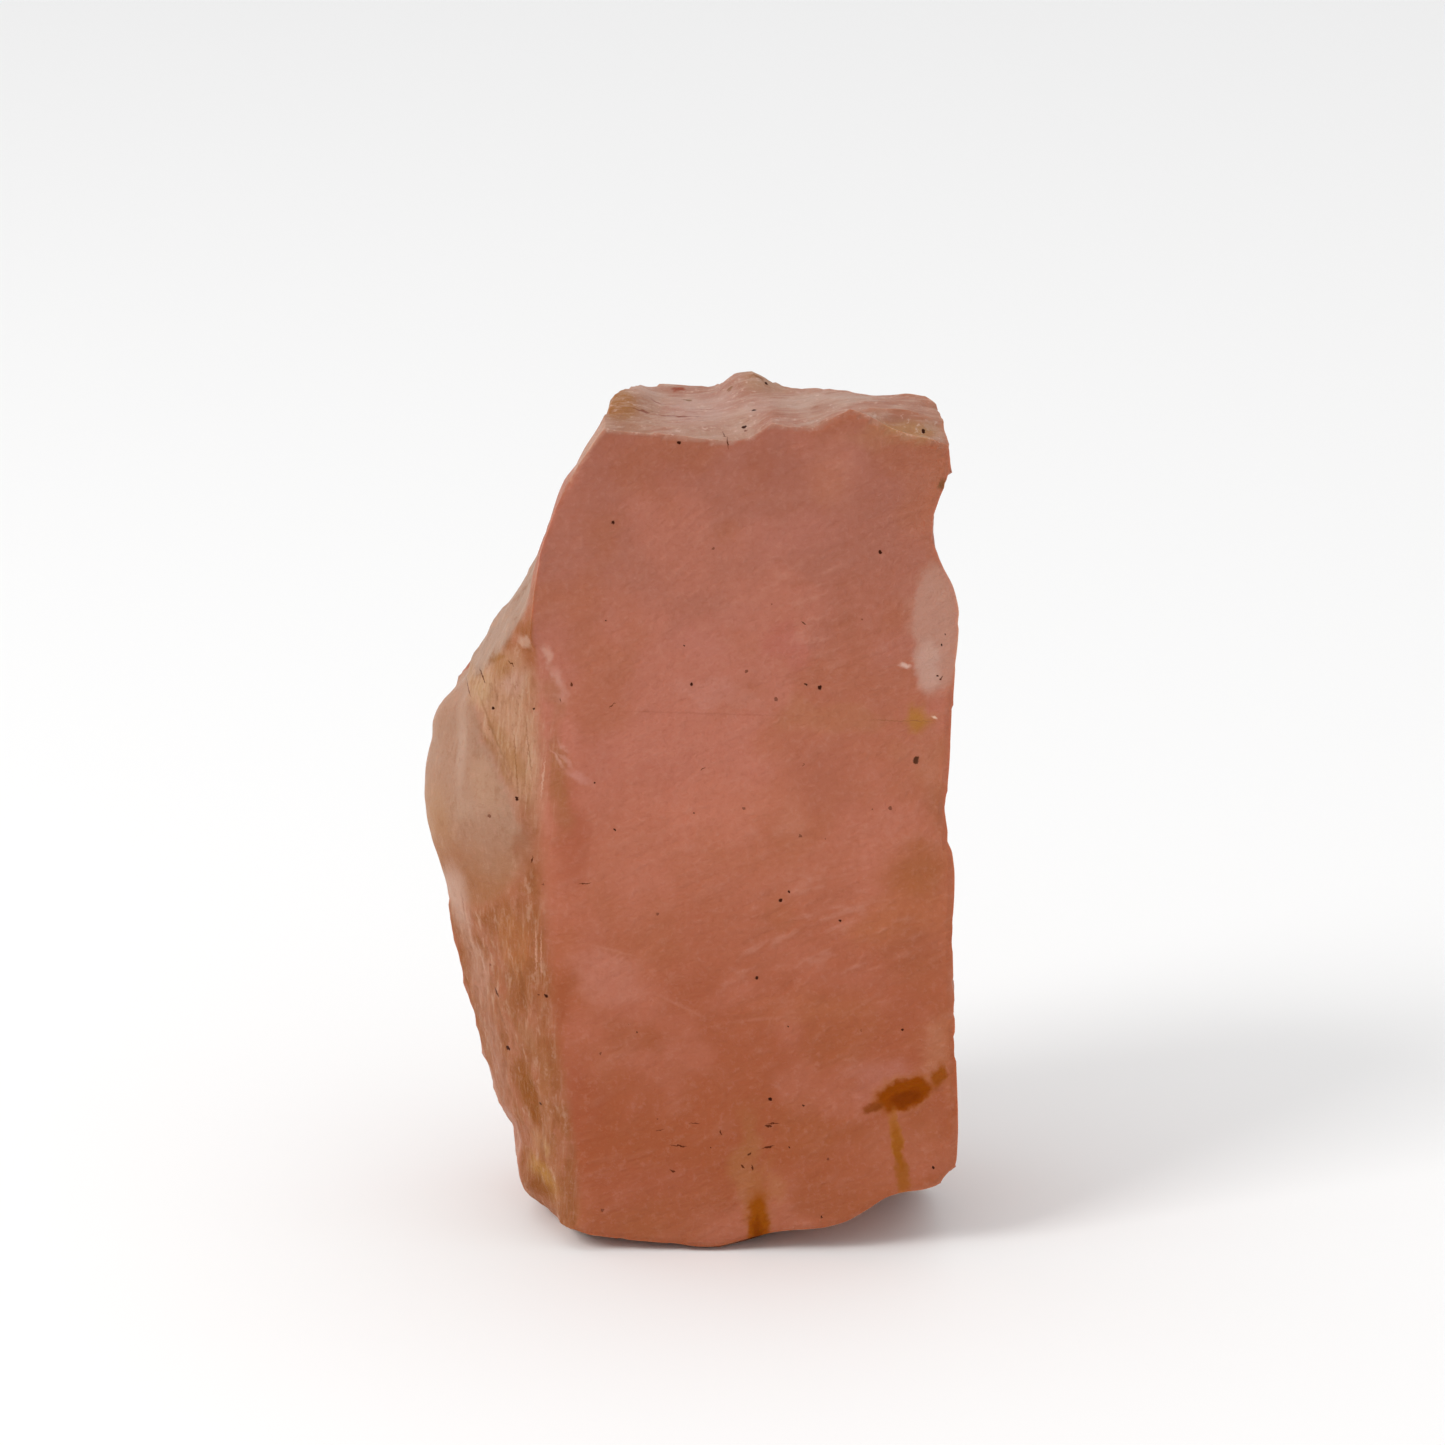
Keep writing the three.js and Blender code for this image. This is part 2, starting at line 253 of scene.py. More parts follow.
def hiddenRelief(p):
    h = relief["hidden"]
    height = h["scarDepth"] * min(scars(p, h["scar"], 51) - 0.5, 0)
    height += h["smallDepth"] * min(scars(p, h["small"], 61) - 0.5, 0)
    return height + h["fine"] * wavy(p, h["fineGrain"], 71)


def shares(p, n):  # how much of each kind of break a point has
    swell, ripples, arcs = relief["swelling"], relief["ripples"], relief["arcs"]
    front = comesIn("frontFacing", -n.y) * comesIn("frontDepth", p.y)
    top = comesIn("topFacing", n.z) * comesIn("topHeight", p.z) * (1 - front)
    tip = comesIn("tipSide", p.x) * patch(p, (-28, 63), (9, 12))
    off = abs(offFrom(p, swell["at"], swell["radii"]) - 1)
    across = p.x + 0.47 * p.z + 0.7 * wavy(p, 6, 11)
    bulge = max(1 - comesIn("offShell", off), tip) * comesIn("bulgeAcross", across)
    bulge *= 1 - front
    bulge *= comesIn("bulgeDepth", p.y + 2 * wavy(p, 7, 12))
    left = comesIn("leftFacing", n.x) * comesIn("leftDepth", p.y) * comesIn("leftSide", p.x)
    left *= (1 - front) * (1 - top) * (1 - bulge)
    outer = left * comesIn("outerFacing", n.y) * comesIn("outerHeight", p.z)
    low = 0.5 * comesIn("lowStrands", p.z)
    strandy = max((left - outer) * max(patch(p, (-22, 60), (8, 13), 0.6), low), outer)
    strandy = max(strandy, 0.7 * front * patch(p, (-17.6, 59), (3.4, 15)))
    rippled = front * max(patch(p, part["at"], part["reach"]) for part in (ripples, arcs))
    return {"front": front, "top": top, "bulge": bulge, "fibre": left - outer, "outer": outer,
            "strandy": strandy, "rippled": rippled, "flank": max(left, 0.6 * bulge)}


# The broad tones of each point. Places on the front are (x, z) in mm, elsewhere (x, y, z).

tall = 101  # mm, to the flat of the top
tones = {  # the front's from the base, 0, to the top, 1
    "front": [(0, "a35e3f"), (0.12, "a15837"), (0.3, "a75e42"), (0.47, "b26c53"), (0.6, "b46f5b"),
              (0.82, "a86a57"), (0.97, "a36654")],
    "rosy": "bd7762", "brown": "a25e3a",
    "top": "a0705d", "topPale": "ab8573",
    "flank": "945935", "flankPink": "a06346", "strands": "b28467",
    "bulge": "a57e67", "bulgeLow": "9b6644",
    "outer": "ad7762", "hiddenPale": "b7806b", "hiddenDeep": "9a553a",
}

# Clouds of one tone over the rest: how strong, between which values of the noise, grain, seed.
clouds = {
    "rosy": (0.35, (-0.1, 0.5), 13, 101), "brown": (0.35, (0, 0.5), 17, 102),
    "hiddenPale": (0.5, (-0.1, 0.7), 12, 103), "hiddenDeep": (0.5, (0, 0.6), 16, 104),
    "topPale": (1, (-0.4, 0.3), 5, 105), "flankPink": (1, (-0.2, 0.4), 5, 106),
}

# How places are pushed about for the tones and the grain: over how many mm, and how far in mm.
wander = {"drift": (9, 2.4), "fray": (2.4, 0.9), "bend": (17, 3)}

# Soft changes of tone on the front: where, how far they reach, how they rise to the right in
# degrees, the tone, how strong, and the share of the reach that has it in full.
frontPatches = [
    ((17, 93.5), (4, 6.5), -10, "b87a66", 0.4, 0.1),
    ((8, 94), (2.6, 6), -8, "9a583f", 0.4, 0.1),
    ((-5, 93.5), (8, 4.5), 0, "9f5f4a", 0.45, 0.1),
    ((27.5, 92), (4, 7), 0, "aa694c", 0.5, 0.2),
    ((12, 86), (9, 4), 10, "b57465", 0.35, 0.1),
    ((11.5, 73), (4.4, 2.8), -20, "b4685c", 0.4, 0.4),
    ((2, 74), (8, 6), 0, "bb7767", 0.45, 0.1),
    ((20, 77), (6, 6), 0, "a9674f", 0.3, 0.1),
    ((2.3, 67), (6.5, 2.2), 0, "bd8273", 0.35, 0.5),
    ((16.5, 64.4), (9.5, 2.8), -3, "ad7252", 0.45, 0.55),
    ((15, 57.8), (7, 4.6), -25, "a5624d", 0.35, 0.4),
    ((4, 54), (13, 8), 0, "c07962", 0.5, 0.1),
    ((12.4, 52), (2.6, 6.5), 0, "b97d66", 0.22, 0.2),
    ((-14.8, 51), (4, 9), 0, "a2583e", 0.65, 0.2),
    ((26, 46.6), (6.4, 4.6), 0, "985828", 0.55, 0.4),
    ((29.6, 54.4), (4, 4.4), 0, "9c6044", 0.6, 0.3),
    ((24, 41), (9, 5), 15, "ab673c", 0.4, 0.2),
    ((-10.5, 33.6), (6.6, 3.8), -8, "bb7b67", 0.42, 0.5),
    ((-12.5, 20), (3.6, 12), 8, "9c5238", 0.6, 0.1),
    ((-15.4, 29), (3, 7), 0, "96502f", 0.7, 0.3),
    ((-16.4, 57), (2.4, 9), 4, "9c6340", 0.75, 0.3),
    ((-15.8, 67), (2, 5), -8, "a46c50", 0.65, 0.3),
    ((-14.6, 13.5), (1, 15), 3, "a66c48", 0.55, 0.5),
    ((25, 97.8), (8.5, 2), 12, "ad7b5a", 0.5, 0.4),
    ((25, 36), (5, 5), 0, "9c5a3a", 0.4, 0.3),
    ((1, 33), (8, 3.4), -10, "a35a3d", 0.4, 0.1),
    ((14, 30), (10, 3), 8, "b4704f", 0.35, 0.1),
    ((23.2, 21.6), (6.4, 4), 10, "b8796a", 0.45, 0.3),
    ((-4, 8), (12, 6), 0, "a75d44", 0.5, 0.2),
    ((22, 10), (9, 6), 0, "ae664a", 0.5, 0.2),
    ((27.5, 59), (4, 5), 0, "ae7252", 0.45, 0.2),
    ((7.4, 11), (2.4, 9), 0, "a66b42", 0.6, 0.4),
    ((10.6, 8), (1, 6), 0, "b37a4e", 0.35, 0.2),
    ((28.4, 76), (3.4, 9), 0, "b5826d", 0.45, 0.6),
    ((-5.9, 26), (4.4, 3), 0, "98532f", 0.4, 0.3),
    ((29.6, 25), (3, 5), 0, "b67a5c", 0.5, 0.3),
    ((26.8, 64.6), (1.2, 3), 0, "a9722f", 0.8, 0.3),
]

# The same on the left flank, on the top and at the corners.
sidePatches = [
    ((-7.4, -14, 98.8), (5.4, 10, 3), 0, "9a6e57", 0.75, 0.5),
    ((-8.6, -12, 99), (3.2, 8, 2.6), 40, "94602f", 0.85, 0.5),
    ((-11.8, -20, 96), (1.9, 9, 4.6), -43, "b58b76", 0.6, 0.4),
    ((-23.6, -12, 73.4), (2.9, 14, 12), -35, "a58977", 0.9, 0.75),
    ((-18, -21, 73), (2.4, 5, 3.6), -30, "975a36", 0.65, 0.3),
    ((-21.6, -18, 69.8), (3, 6, 2), 0, "96622f", 0.6, 0.3),
    ((-20.2, -18, 68.6), (1.7, 6, 2.6), -30, "b98d7c", 0.6, 0.3),
    ((-18.4, -20, 67), (1.2, 6, 3.6), -15, "9a5c3a", 0.5, 0.3),
    ((-24.2, -13, 66.5), (2, 8, 3.4), -35, "b4926c", 0.6, 0.3),
    ((-26.6, -11, 66.8), (1.4, 8, 2.4), -35, "a4733f", 0.5, 0.3),
    ((-17, -21, 60), (1.6, 6, 9), 0, "9c6038", 0.5, 0.3),
    ((-21.2, -18, 60), (1.3, 6, 7), 24, "97652f", 0.5, 0.3),
    ((-18.8, -19, 52), (1.9, 7, 5), 12, "965a3c", 0.65, 0.3),
    ((-19.6, -18, 48), (2.2, 8, 3.4), 20, "95593b", 0.5, 0.1),
    ((-30, -9, 50), (3.4, 14, 7), 0, "a97a50", 0.4, 0.1),
    ((-28.4, -9, 64.4), (2.4, 12, 4), -35, "a8806a", 0.6, 0.3),
    ((-26.6, -12, 59), (1.1, 14, 8), 0, "b4937f", 0.6, 0.2),
    ((-26, -12, 52), (3, 14, 2.4), 10, "b08d75", 0.5, 0.2),
    ((-22.4, -16, 58.6), (0.7, 8, 7), 30, "8a5a2c", 0.5, 0.3),
    ((-23.6, -16, 55), (2.4, 8, 5), 25, "b0896e", 0.55, 0.3),
    ((-20.5, -18, 36.4), (2.8, 9, 6), 0, "9f6238", 0.75, 0.4),
    ((-20.2, -18, 30.4), (2.2, 9, 3), 0, "8b5029", 0.6, 0.3),
    ((-27.4, -10, 39.6), (2, 12, 6.4), 6, "c09c8a", 0.7, 0.3),
    ((-25.4, -10, 31), (1.8, 12, 6), 12, "b1846f", 0.6, 0.4),
    ((-23.4, -12, 21), (1.6, 12, 9), 15, "a1705a", 0.6, 0.3),
    ((-23.6, -14, 27), (1.4, 10, 5), 14, "95603f", 0.5, 0.3),
    ((-19.4, -17, 25.4), (2.4, 8, 2.6), 20, "9d6c4b", 0.5, 0.2),
    ((-17.2, -20, 30), (1.6, 5, 7), 0, "93552f", 0.6, 0.3),
    ((-18.8, -18, 18), (2, 8, 5.4), 17, "85480a", 0.95, 0.4),
    ((-16.4, -20, 17), (1, 6, 13), 6, "9d6441", 0.65, 0.4),
    ((-17.8, -18, 12.5), (1.8, 8, 2.2), 0, "a8744c", 0.6, 0.3),
    ((-16.6, -20, 12), (0.5, 6, 1.9), 0, "b88f60", 0.6, 0.2),
    ((-17.8, -19, 7.8), (3, 8, 3.8), 15, "a87634", 0.8, 0.3),
    ((-18.4, -17, 5.6), (3, 8, 2.2), 30, "804309", 0.85, 0.3),
    ((8, -4, 101), (5, 7, 2), 0, "a88668", 0.6, 0.3),
    ((10.6, -18, 98.8), (4, 5, 1.3), 0, "9c6350", 0.6, 0.5),
    ((16, -12, 100), (9, 6, 2.4), 0, "ac8f80", 0.55, 0.4),
    ((15.4, -15, 99.6), (2.4, 5, 2), 0, "98604a", 0.4, 0.3),
    ((7.8, -13, 99.4), (2.6, 6, 2), 0, "b8968a", 0.35, 0.3),
    ((1.6, -11, 99), (6, 9, 2.4), 0, "b8948a", 0.38, 0.4),
    ((-8.4, -16, 98), (2.4, 6, 2.6), 0, "8f5f46", 0.4, 0.3),
    ((24.5, -21.6, 97.8), (8.5, 3, 2), 12, "a87c56", 0.8, 0.5),
]


def tint(code):
    return Vector(tone(code)[:3])


def patched(color, place, patches, share=1.0):
    for at, reach, rise, code, strength, core in patches:
        c, s = math.cos(math.radians(rise)), math.sin(math.radians(rise))
        x, z = place.x - at[0], place.z - at[-1]
        deep = (place.y - at[1]) / reach[1] if len(at) == 3 else 0
        off = Vector(((c * x + s * z) / reach[0], deep, (c * z - s * x) / reach[-1])).length
        if off < 1:
            color = color.lerp(tint(code), share * strength * (1 - ease(core, 1, off)))
    return color


def ramped(stops, value):
    for (low, a), (high, b) in zip(stops, stops[1:]):
        if value < high:
            return tint(a).lerp(tint(b), max(value - low, 0) / (high - low))
    return tint(stops[-1][1])


def clouded(color, place, name):
    strength, values, grain, seed = clouds[name]
    return color.lerp(tint(tones[name]), strength * ease(*values, wavy(place, grain, seed)))


def frontTone(p, moved):
    color = clouded(ramped(tones["front"], moved.z / tall), p, "rosy")
    return patched(clouded(color, p, "brown"), moved, frontPatches)


def hiddenTone(moved):
    color = clouded(ramped(tones["front"], moved.z / tall), moved, "hiddenPale")
    return clouded(color, moved, "hiddenDeep")


def topTone(p, moved):
    return clouded(tint(tones["top"]), p, "topPale")


def flankTone(p, moved):
    color = clouded(tint(tones["flank"]), p, "flankPink")
    color = color.lerp(tint(tones["strands"]), patch(moved, (-21, 61), (7, 13), 0.7))
    return color.lerp(hiddenTone(moved), comesIn("strandsEnd", moved.z))


def bulgeTone(p, moved):
    return tint(tones["bulge"]).lerp(tint(tones["bulgeLow"]), 1 - comesIn("bulgeLow", moved.z))


def pointTone(p, share, drift):
    grain, reach = wander["fray"]
    moved = p + drift + noise.turbulence_vector(p / grain, 2, False) * reach
    color = hiddenTone(moved)
    kinds = {"front": frontTone, "top": topTone, "fibre": flankTone, "bulge": bulgeTone}
    for name, toneOf in kinds.items():
        if share[name] > 0:
            color = color.lerp(toneOf(p, moved), share[name])
    color = color.lerp(tint(tones["outer"]), share["outer"])
    # painted shade: the arrises on the right are darkened towards brown, against their light rim
    color = color.lerp(tint(tones["brown"]), 0.3 * share["arrisWearAndShade"] * comesIn("shadedRightEdge", p.x))
    if share["front"] == 1 or p.y > 2:
        return color
    # the side's tones fade out towards the back, further forward above and below the swelling
    back = 2 - 5 * (ease(58, 66, p.z) + ease(44, 38, p.z)) * ease(90, 86, p.z)
    seen = ease(back, back - 5, p.y + 2 * wavy(p, 5, 107)) * (1 - share["front"])
    pushed = (0.35 + 0.65 * comesIn("sideDrift", p.y)) * drift
    return patched(color, p + pushed, sidePatches, seen)


near = kdtree.KDTree(len(arrisPoints))
for i, v in enumerate(arrisPoints):
    near.insert(v.co, i)
near.balance()

chips, swell = relief["chips"], relief["swelling"]
wanted = ("front", "top", "strandy", "rippled", "flank", "arrisWearAndShade")
masks = {name: [] for name in wanted}
skin, bends, moves = [], [], []
for v in bm.verts:
    p, n = v.co / mm, v.normal
    share = shares(p, n)
    off = near.find(v.co)[2] / mm  # from the nearest arris
    # nearness to an arris: the worn chips follow it, and on the right the painted shade
    share["arrisWearAndShade"] = 1 - ease(0, chips["reach"], off)
    drift = noise.turbulence_vector(p / wander["drift"][0], 3, False) * wander["drift"][1]
    bends.extend(noise.noise_vector(p / wander["bend"][0]) * wander["bend"][1])
    skin.extend((*pointTone(p, share, drift), 1))
    for name in wanted:
        masks[name].append(share[name])
    hidden = max(0, 1 - sum(share[name] for name in ("front", "top", "bulge", "fibre", "outer")))
    height = share["front"] * frontRelief(p) + share["top"] * topRelief(p)
    height += share["fibre"] * fibreRelief(p) + share["outer"] * outerRelief(p)
    height += share["bulge"] * swell["height"] * wavy(p, swell["grain"], 81)
    height += hidden * hiddenRelief(p) * ease(0, relief["hidden"]["fade"], off)
    for at, reach, rise in rises:
        height += rise * (1 - comesIn("rises", offFrom(p, at, reach)))
    chip = comesIn("chips", wavy(p, chips["grain"], 91))
    chip *= comesIn("chipSpread", wavy(p, chips["spread"], 92))
    chip *= chips["least"] + (1 - chips["least"]) * comesIn("chipSide", p.x)
    proud = chips["proud"] * comesIn("proudSide", p.x) * comesIn("proudDepth", p.y)
    height += (proud - chips["depth"] * chip) * share["arrisWearAndShade"]
    height *= ease(*relief["flatBelow"], p.z)
    moves.append((v, n * height * mm))
for v, move in moves:
    v.co += move
bm.to_mesh(lump.data)
bm.free()
for polygon in lump.data.polygons:
    polygon.use_smooth = True
lump.data.set_sharp_from_angle(angle=math.radians(stone["crisp"]))
for attribute, names in {"faces": wanted[:3], "sides": wanted[3:]}.items():
    layer = lump.data.attributes.new(attribute, "FLOAT_VECTOR", "POINT")
    layer.data.foreach_set("vector", [x for trio in zip(*[masks[n] for n in names]) for x in trio])
lump.data.attributes.new("bend", "FLOAT_VECTOR", "POINT").data.foreach_set("vector", bends)
lump.data.attributes.new("skin", "FLOAT_COLOR", "POINT").data.foreach_set("color", skin)
print("relief carved and toned")

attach(lump, "root")
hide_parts("rose_quartz")


# Nodes

def put(tree, kind, sockets=None, **settings):  # one node; a socket takes a value or an output
    node = tree.nodes.new(kind)
    for name, value in settings.items():
        setattr(node, name, value)
    for name, value in (sockets or {}).items():
        if isinstance(value, bpy.types.NodeSocket):
            tree.links.new(value, node.inputs[name])
        else:
            node.inputs[name].default_value = value
    return node


def sumOf(tree, operation, a, b=0.0, c=0.0):
    return put(tree, "ShaderNodeMath", {0: a, 1: b, 2: c}, operation=operation).outputs[0]


def vectorOf(tree, operation, a, b=(0, 0, 0), result=0):
    return put(tree, "ShaderNodeVectorMath", {0: a, 1: b}, operation=operation).outputs[result]


def between(tree, value, low, high, fromTo=(0.0, 1.0)):  # an even step from low to high
    sockets = {"Value": value, "From Min": low, "From Max": high,
               "To Min": fromTo[0], "To Max": fromTo[1]}
    return put(tree, "ShaderNodeMapRange", sockets, interpolation_type="SMOOTHSTEP").outputs[0]


def blend(tree, amount, a, b):
    return put(tree, "ShaderNodeMix", {0: amount, 6: a, 7: b}, data_type="RGBA").outputs[2]


def cloud(tree, place, size, detail, rough=0.55):  # size in mm
    return put(tree, "ShaderNodeTexNoise", {"Vector": place, "Scale": 1 / size, "Detail": detail,
               "Roughness": rough}).outputs


def drawn(tree, place, longer, turn):  # a pattern drawn out along turned axes
    return put(tree, "ShaderNodeMapping", {"Vector": place, "Scale": longer,
               "Rotation": [math.radians(a) for a in turn]}, vector_type="TEXTURE").outputs[0]


def spot(tree, where, at, reach, turn=0):  # 0 at the middle of an oval lump of space, 1 at its edge
    c, s = math.cos(math.radians(turn)), math.sin(math.radians(turn))
    turned = [Vector((c, 0, s)), Vector((0, 1, 0)), Vector((-s, 0, c))]
    axes = [axis / r for axis, r in zip(turned, reach)]
    if turn:
        along = [vectorOf(tree, "DOT_PRODUCT", where, axis, "Value") for axis in axes]
        scaled = put(tree, "ShaderNodeCombineXYZ", dict(enumerate(along))).outputs[0]
    else:
        scaled = vectorOf(tree, "MULTIPLY", where, [1 / r for r in reach])
    return vectorOf(tree, "DISTANCE", scaled, [axis.dot(Vector(at)) for axis in axes], "Value")


def shifted(tree, where, size, reach, detail=1.0):  # a place pushed about, for ragged outlines
    push = vectorOf(tree, "SUBTRACT", cloud(tree, where, size, detail)["Color"], (0.5, 0.5, 0.5))
    return vectorOf(tree, "ADD", where, vectorOf(tree, "MULTIPLY", push, [2 * reach] * 3))


def nearest(tree, where, spots):  # of several spots, the distance to the nearest
    least = 9.0  # far outside every one
    for at, reach, turn in spots:
        least = sumOf(tree, "MINIMUM", spot(tree, where, at, reach, turn), least)
    return least


# The quartz: over the broad tones, its grain, strands, stains, specks and cracks, with painted
# highlight and shade on its bumps and a few painted glints.

marks = {
    # painted highlight and painted shade, for the ridges and the hollows of the bumps
    "paintedHighlight": "c58d7a", "shade": "98563c",  # of the grain on the front
    "cream": "c3a286", "golden": "94653f",  # of the strands on the flank
    "topPale": "b99a8a", "topLine": "8b5a46", "topGlint": "cdb3a6",
    "speck": "351002", "faint": "6a3826", "crack": "52220a",
    "fleck": "7f4a24", "chalky": "c0977e",  # of the flank
}

# Stains, clear spots and two painted glints on the front and the left flank, (x, z) in mm: where,
# how far they reach, how they rise in degrees, the tone, how strong, and the share of the reach
# that has it in full.
stainsAndGlints = [
    ((25, 19.6), (4.6, 2.7), 20, "a5602c", 0.6, 0.6),
    ((25, 19.4), (3.9, 2.1), 20, "8d4200", 1, 0.7),
    ((25.2, 19), (2.7, 1.4), 20, "7b3300", 0.9, 0.4),
    ((21.4, 17.8), (1.6, 0.7), 12, "844010", 0.9, 0.4),
    ((29.2, 21.7), (1.1, 2.3), -12, "914a04", 0.9, 0.4),
    ((24.2, 14.4), (0.95, 4.2), 8, "a5642a", 0.85, 0.5),
    ((24.4, 13), (0.6, 4), 8, "9a5714", 0.85, 0.4),
    ((25, 9.6), (1.2, 3.4), 8, "985712", 0.8, 0.4),
    ((8.1, 4), (2.1, 8), 0, "a06030", 0.6, 0.5),
    ((8.1, 2.6), (1.6, 6), 0, "954c00", 0.95, 0.6),
    ((7.9, 1.6), (0.9, 4.4), 0, "7d3800", 0.85, 0.3),
    ((29, 92), (0.9, 1.1), 0, "6e4a22", 0.7, 0.3),
    ((28.5, 75.4), (3.3, 8.8), 0, "b88f7e", 0.55, 0.75),
    ((27.4, 70.8), (2, 4.4), 0, "c39f90", 0.55, 0.4),
    # painted glint: a small whitish dot
    ((24.9, 70.9), (0.9, 0.5), 0, "dcbcae", 0.7, 0.1),
    ((26.6, 64.9), (1.2, 2), 0, "aa7330", 0.4, 0.1),
    # painted glint: a small whitish dot
    ((28.2, 64.8), (0.45, 0.35), 0, "e4ccb6", 0.8, 0.1),
    ((26.3, 59.6), (0.58, 0.5), 0, "4c2816", 0.95, 0.6),
    ((-16.4, 72), (0.7, 2), 8, "c99c8a", 0.6, 0.1),
    ((-15.2, 69.3), (0.9, 2.2), 24, "c49484", 0.55, 0.1),
    ((-14.6, 67.2), (1.1, 1.3), 0, "c08a7a", 0.55, 0.1),
    ((-12.9, 57.7), (2.2, 1), -28, "c48c7f", 0.5, 0.2),
    ((-15.4, 59.9), (2, 0.36), -48, "c79483", 0.5, 0.2),
    ((-14.3, 59.7), (2, 0.32), -42, "c48f80", 0.45, 0.2),
    ((-14.6, 61.3), (1.6, 0.3), -60, "c48f80", 0.4, 0.2),
    ((-19.6, 49.6), (1.6, 2.4), -25, "8a5233", 0.4, 0.1),
    ((-18.6, 46), (0.8, 3.2), 10, "8d5534", 0.5, 0.2),
    ((-19, 73.4), (1.4, 1), -40, "c09a84", 0.6, 0.2),
    ((-20.8, 66.8), (0.5, 2.2), -25, "8f5a30", 0.3, 0.2),
    ((-22.3, 70.6), (2, 0.5), 30, "8f5c2e", 0.6, 0.2),
]

# Seams and ridges, thin and straight, in the same order.
seams = [
    ((24.4, 64.4), (5.6, 0.09), -1, "8d573a", 0.7, 0.3),
    ((2, 65.2), (18, 0.16), -1.5, "a2604c", 0.4, 0.3),
    ((-9, 37), (4.4, 0.3), -14, "c0836c", 0.28, 0.1),
    ((-1, 30.2), (5, 0.3), -27, "c0836c", 0.28, 0.1),
    ((8, 28.6), (6, 0.34), 6, "b87862", 0.3, 0.1),
    ((-18, 36), (0.14, 4.4), 0, "c49078", 0.6, 0.3),
    ((-17.4, 36), (0.14, 4.4), 0, "c49078", 0.6, 0.3),
    ((-22.8, 61.4), (7, 0.26), -68, "86572e", 0.5, 0.2),
    ((-20.2, 58.6), (6, 0.14), -86, "7d4c26", 0.5, 0.3),
    ((-18.7, 61), (5, 0.12), -84, "7d4c26", 0.45, 0.3),
    ((-17, 57.4), (3.4, 0.16), 84, "cba28c", 0.6, 0.3),
    ((-26.2, 35), (4.4, 0.3), -78, "c59d89", 0.5, 0.3),
    ((-25, 33), (4, 0.22), -74, "c59d89", 0.5, 0.3),
    ((-27, 38.4), (3, 0.2), -84, "8b5a40", 0.5, 0.3),
    ((-22.4, 26.4), (2.4, 0.16), -70, "7a4526", 0.5, 0.3),
]

# Lines and blots on the top: where, how far they reach, the tone.
topMarks = [
    ((-1.4, -2.4, 99.9), (0.9, 1.3, 2), "85300a"),
    ((-1.1, -14, 98.8), (3.4, 0.3, 2), "7d4030"), ((-5.6, -13.8, 99.1), (1.4, 0.3, 2), "7d4030"),
    ((-0.4, -7, 99.3), (0.7, 0.6, 2), "7a5030"), ((4.7, -6.5, 101), (0.7, 0.35, 2), "85583a"),
    ((7.7, -5.5, 101), (1, 0.35, 2), "85583a"), ((-9.4, -16, 98), (0.25, 2.4, 1.4), "8a5440"),
    ((-3.5, -9.5, 99.2), (1.8, 0.25, 2), "8a5040"), ((1.5, -10.5, 98.8), (1.6, 0.25, 2), "8a5040"),
]

# Specks: where, and half their width.
frontSpecks = [
    (-8.7, 87.7, 0.3), (-1.2, 96.9, 0.3), (21.9, 84.2, 0.28), (26.7, 98.1, 0.26),
    (-9.6, 76.2, 0.14), (-0.6, 73.3, 0.16), (0.2, 68.7, 0.26), (13.4, 68.7, 0.18),
    (-8.7, 51.4, 0.18), (10.6, 43, 0.32), (11.5, 44, 0.2), (17.5, 40.5, 0.22), (0.5, 53.4, 0.14),
    (21.2, 53.9, 0.14), (28.6, 69.7, 0.16), (7.8, 33.6, 0.28), (11.5, 27.7, 0.16),
    (24.9, 27.3, 0.2), (9.4, 18.9, 0.26), (13.3, 18.1, 0.18), (28.6, 10.5, 0.22),
    (15.5, 4.4, 0.18), (-16.9, 31.1, 0.26), (-11, 57, 0.14), (29.4, 74.6, 0.14), (29, 73.3, 0.16),
    (-6.2, 27, 0.14), (11.7, 13, 0.16), (2.4, 13, 0.14), (15, 68.3, 0.34),
]
sideSpecks = [
    ((7.4, -14.7, 99.3), 0.34), ((6.3, -18.6, 98.1), 0.3), ((8.9, -6, 100.6), 0.24),
    ((-20.1, -19.2, 54.4), 0.28), ((-22.9, -16.6, 64.6), 0.24), ((-18, -21.3, 65.5), 0.2),
    ((-21.7, -14.7, 22.5), 0.34), ((-22.4, -14, 18.6), 0.22), ((-17.7, -20, 17.2), 0.22),
]

# Short dark cracks: the middle, half the length, half the width, and the rise.
cracks = [
    (-1.4, 13.1, 1.1, 0.1, -5), (9.2, 13, 0.85, 0.11, 14), (9.7, 15.9, 0.85, 0.1, 0),
    (9.2, 15.6, 0.45, 0.16, 0), (7, 12.2, 0.36, 0.13, 34), (6.2, 10.6, 0.36, 0.14, -52),
    (7.3, 10.5, 0.45, 0.1, -72), (-2.1, 10, 0.4, 0.13, -30), (0.5, 15.9, 0.7, 0.06, 0),
    (-13.6, 68.7, 0.34, 0.12, -75), (13.1, 76, 0.36, 0.11, -34), (29, 69.4, 0.34, 0.1, 45),
    (4.4, 96.8, 0.65, 0.07, -82), (4, 97.5, 0.3, 0.06, -50), (-23, 29.3, 0.6, 0.18, -62),
    (-17.8, 31, 0.2, 0.1, 0), (3.6, 14.8, 0.4, 0.08, -70), (-3.6, 15, 0.6, 0.06, 14),
    (-24.2, 68, 0.95, 0.09, -60), (-26.1, 66, 1, 0.08, -58), (-26.9, 67.4, 0.4, 0.12, -55),
    (-20.6, 70.4, 0.5, 0.1, -35), (-14.9, 66.8, 0.3, 0.09, -75), (-18.4, 47.4, 0.5, 0.09, 80),
    (-8.9, 66.2, 0.5, 0.06, 40), (-12.2, 45, 0.9, 0.07, 8), (1.5, 58.6, 0.4, 0.07, 30),
]

# How far into the stone each kind of mark reaches, mm.
deep = {"tintSpot": 8, "seam": 6, "speck": 2, "crack": 5, "sideSpeck": 1.6, "topSpeck": 1.4}

